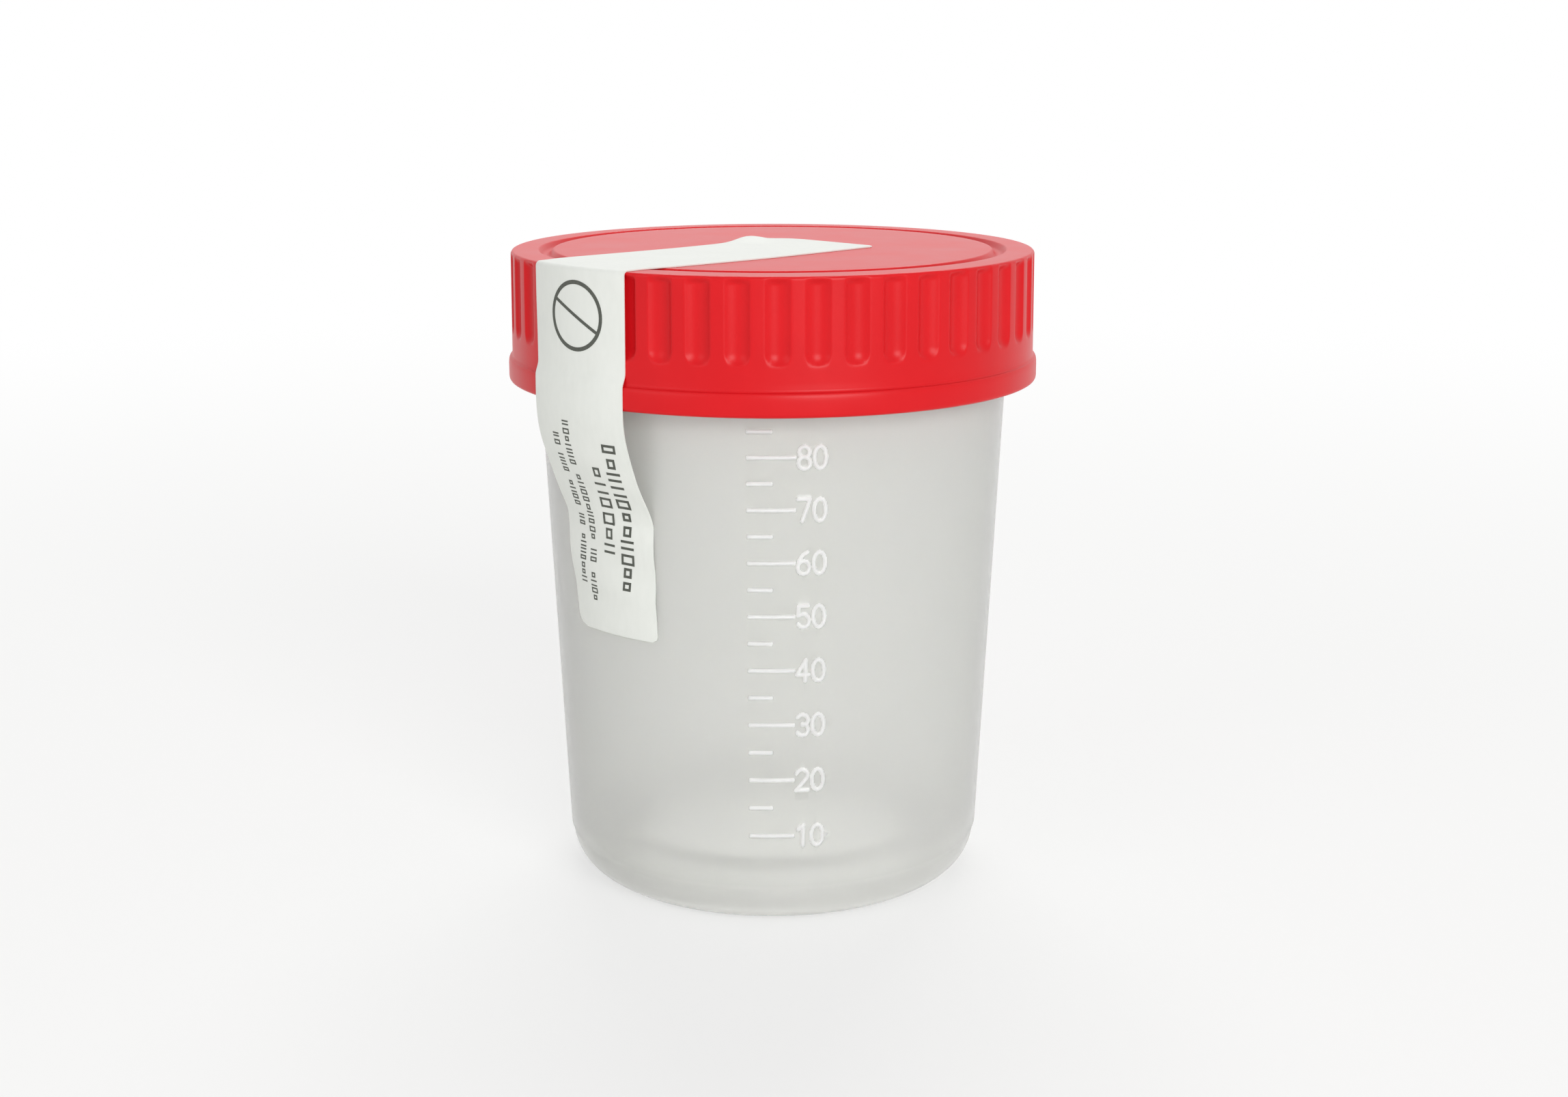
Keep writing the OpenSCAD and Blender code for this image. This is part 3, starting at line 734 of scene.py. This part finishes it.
ring_turn = np.radians(np.linspace(0, 360, 65))[:, None]
ring_width = np.linspace(0, 1, 3)[None, :]
ring_v = (RING_SIZE[0] - RING_LINE * ring_width) * np.cos(ring_turn)
ring_s = skirt_s(RING_Z) - (RING_SIZE[1] - RING_LINE * ring_width) * np.sin(ring_turn)
ring = sheet_shell(place_strip(*seal_on_cap(ring_s, ring_v)), INK_LOW, INK_HIGH)
bar_length = np.linspace(-BAR_REACH, BAR_REACH, 12)[:, None]
bar_width = np.linspace(-BAR_LINE / 2, BAR_LINE / 2, 3)[None, :]
bar_v = bar_length * math.cos(BAR_TILT) - bar_width * math.sin(BAR_TILT)
bar_s = skirt_s(RING_Z) - bar_length * math.sin(BAR_TILT) - bar_width * math.cos(BAR_TILT)
bar = sheet_shell(place_strip(*seal_on_cap(bar_s, bar_v)), INK_LOW, INK_HIGH)
mesh_piece("cap_seal_print", *join_shells([ring, bar]), label_ink, "cap", "seal_paper")

# print on the cup's half: four rows of small shapes where words would be
# (first height, last height, v at the top, v at the bottom, height of a shape, shapes in each word)
PRINT_ROWS = (
    (52.6, 35.9, 4.15, 2.75, 1.75, (11,)),
    (49.9, 39.5, 1.65, 0.4, 1.6, (6,)),
    (54.5, 34.3, -1.65, -2.25, 1.0, (6, 9, 2, 4)),
    (53.0, 36.2, -3.55, -3.95, 1.0, (2, 3, 4, 2, 7)),
)
PRINT_LINE = 0.16           # thickness of a shape's lines, as a share of its height


def print_shape(kind, length, tall):
    """The strokes of one plain shape, as (low, high) along and across: a frame, two bars, or a low frame."""
    low, high = (tall * 0.2, tall * 0.8) if kind == 2 else (0, tall)
    thick = tall * PRINT_LINE
    bars = [((0, thick), (low, high)), ((length - thick, length), (low, high))]
    ends = [((0, length), (low, low + thick)), ((0, length), (high - thick, high))]
    return bars if kind == 1 else bars + ends


def print_row(top, bottom, v_top, v_bottom, tall, words):
    """One row of shapes down the strip. They share the row evenly, with one shape's room between words,
    and each fills 0.6 to 0.8 of its room, by the fractional part of a multiple of its place."""
    room = (top - bottom) / (sum(words) + len(words) - 1)
    starts = np.cumsum([0] + [letters + 1 for letters in words])
    places = [start + n for start, letters in zip(starts, words) for n in range(letters)]
    shells = []
    for place in places:
        length = room * (0.6 + 0.2 * ((place * 0.618) % 1))
        for (start, end), (near, far) in print_shape(int(place * 2.3 + tall * 7) % 3, length, tall):
            z = top - place * room - np.linspace(start, end, 2)[:, None]
            v = v_top + (v_bottom - v_top) * (top - z) / (top - bottom)
            v = v - tall / 2 + np.linspace(near, far, 2)[None, :]
            shells.append(sheet_shell(place_strip(*seal_on_cup(np.broadcast_to(z, v.shape), v)),
                                      INK_LOW, INK_HIGH))
    return shells


rows = [shape for row in PRINT_ROWS for shape in print_row(*row)]
mesh_piece("cup_seal_print", *join_shells(rows), label_ink, "cup", "seal_paper")


# ---------------------------------------------------------------------------
# Floor, light and camera
# A pale plain floor that turns white with distance, three large soft lamps and a
# plain white world. None of it is part of the container.
# ---------------------------------------------------------------------------
FLOOR_SIZE = 3.0
FLOOR_COLOUR = "#F2F2F0"
FLOOR_GLOW = 0.6            # share of plain white that the camera sees in the floor by the container
FLOOR_FADE = (0.12, 0.5)    # metres from the container between which the floor turns to plain white
WORLD_LIGHT = 0.42
LAMP_AIM = (0, 0, 0.035)    # the middle of the container
LENS = 50.75                # mm, on a sensor 36 mm wide
CAMERA_PLACE = (0.0, -0.24225, 0.09446)
CAMERA_YAW = 0.0051         # radians to the right of straight ahead
CAMERA_PITCH = 0.2358       # radians down
# (name, place in metres, size in metres, watts)
LAMPS = (
    ("key_lamp", (0.4, -1.0, 0.42), 0.6, 7.5),
    ("fill_lamp", (-0.75, -0.7, 0.4), 0.6, 1.4),
    ("back_lamp", (0.05, 0.7, 0.85), 0.7, 5.0),
)


def seen_rays(tree):
    """The Light Path node, and 1 for rays from the camera and for mirrored ones, 0 for the rest."""
    rays = add(tree, "ShaderNodeLightPath")
    seen = add(tree, "ShaderNodeMath", {0: rays.outputs["Is Camera Ray"], 1: rays.outputs["Is Glossy Ray"]},
               operation="MAXIMUM")
    return rays, seen.outputs[0]


def painted_floor():
    """Matt pale floor. For the camera it turns to plain white away from the container, and through
    the container it shows as the plain white of the background."""
    material, tree = new_material("painted_floor")
    place = add(tree, "ShaderNodeTexCoord").outputs["Object"]
    away = add(tree, "ShaderNodeVectorMath", {0: place}, operation="LENGTH")
    fade = add(tree, "ShaderNodeMapRange", {
        "Value": away.outputs["Value"], "From Min": FLOOR_FADE[0], "From Max": FLOOR_FADE[1]},
        interpolation_type="SMOOTHSTEP")
    rays, seen = seen_rays(tree)
    share = add(tree, "ShaderNodeMapRange", {"Value": fade.outputs["Result"], "To Min": FLOOR_GLOW})
    share = add(tree, "ShaderNodeMath", {0: share.outputs[0], 1: seen}, operation="MULTIPLY")
    share = add(tree, "ShaderNodeMath", {0: share.outputs[0], 1: rays.outputs["Is Transmission Ray"]},
                operation="MAXIMUM")
    matt = add(tree, "ShaderNodeBsdfDiffuse", {"Color": linear(FLOOR_COLOUR)})
    white = add(tree, "ShaderNodeEmission", {"Color": (1, 1, 1, 1), "Strength": 1.0})
    mixed = add(tree, "ShaderNodeMixShader", {0: share.outputs[0], 1: matt.outputs[0], 2: white.outputs[0]})
    finish_material(tree, mixed)
    return material


floor_mesh = bpy.data.meshes.new("floor")
half = FLOOR_SIZE / 2
corners = [(-half, -half, 0), (half, -half, 0), (half, half, 0), (-half, half, 0)]
floor_mesh.from_pydata(corners, [], [(0, 1, 2, 3)])
floor_mesh.materials.append(painted_floor())
floor = bpy.data.objects.new("floor", floor_mesh)
bpy.context.scene.collection.objects.link(floor)

world = bpy.data.worlds.new("white_room")
world.use_nodes = True
sky = world.node_tree
sky.nodes.clear()
rays, seen = seen_rays(sky)
seen = add(sky, "ShaderNodeMath", {0: seen, 1: rays.outputs["Is Transmission Ray"]}, operation="MAXIMUM")
plain = add(sky, "ShaderNodeBackground", {"Color": (1, 1, 1, 1), "Strength": WORLD_LIGHT})
white = add(sky, "ShaderNodeBackground", {"Color": (1, 1, 1, 1), "Strength": 1.0})
both = add(sky, "ShaderNodeMixShader", {0: seen.outputs[0], 1: plain.outputs[0], 2: white.outputs[0]})
add(sky, "ShaderNodeOutputWorld", {"Surface": both.outputs[0]})
bpy.context.scene.world = world

for name, place, size, watts in LAMPS:
    lamp = bpy.data.lights.new(name, "AREA")
    lamp.size = size
    lamp.energy = watts
    holder = bpy.data.objects.new(name, lamp)
    holder.location = place
    aim = np.array(LAMP_AIM) - np.array(place)
    yaw = math.atan2(aim[1], aim[0])
    tilt = math.atan2(math.hypot(aim[0], aim[1]), -aim[2])
    holder.rotation_euler = (tilt, 0, yaw - math.pi / 2)
    bpy.context.scene.collection.objects.link(holder)

camera_data = bpy.data.cameras.new("camera")
camera_data.sensor_fit = "HORIZONTAL"
camera_data.sensor_width = 36
camera_data.lens = LENS
camera_data.clip_start = 0.01
camera = bpy.data.objects.new("camera", camera_data)
camera.location = CAMERA_PLACE
camera.rotation_euler = (math.pi / 2 - CAMERA_PITCH, 0, -CAMERA_YAW)
bpy.context.scene.collection.objects.link(camera)
bpy.context.scene.camera = camera
bpy.context.scene.view_settings.view_transform = "Standard"
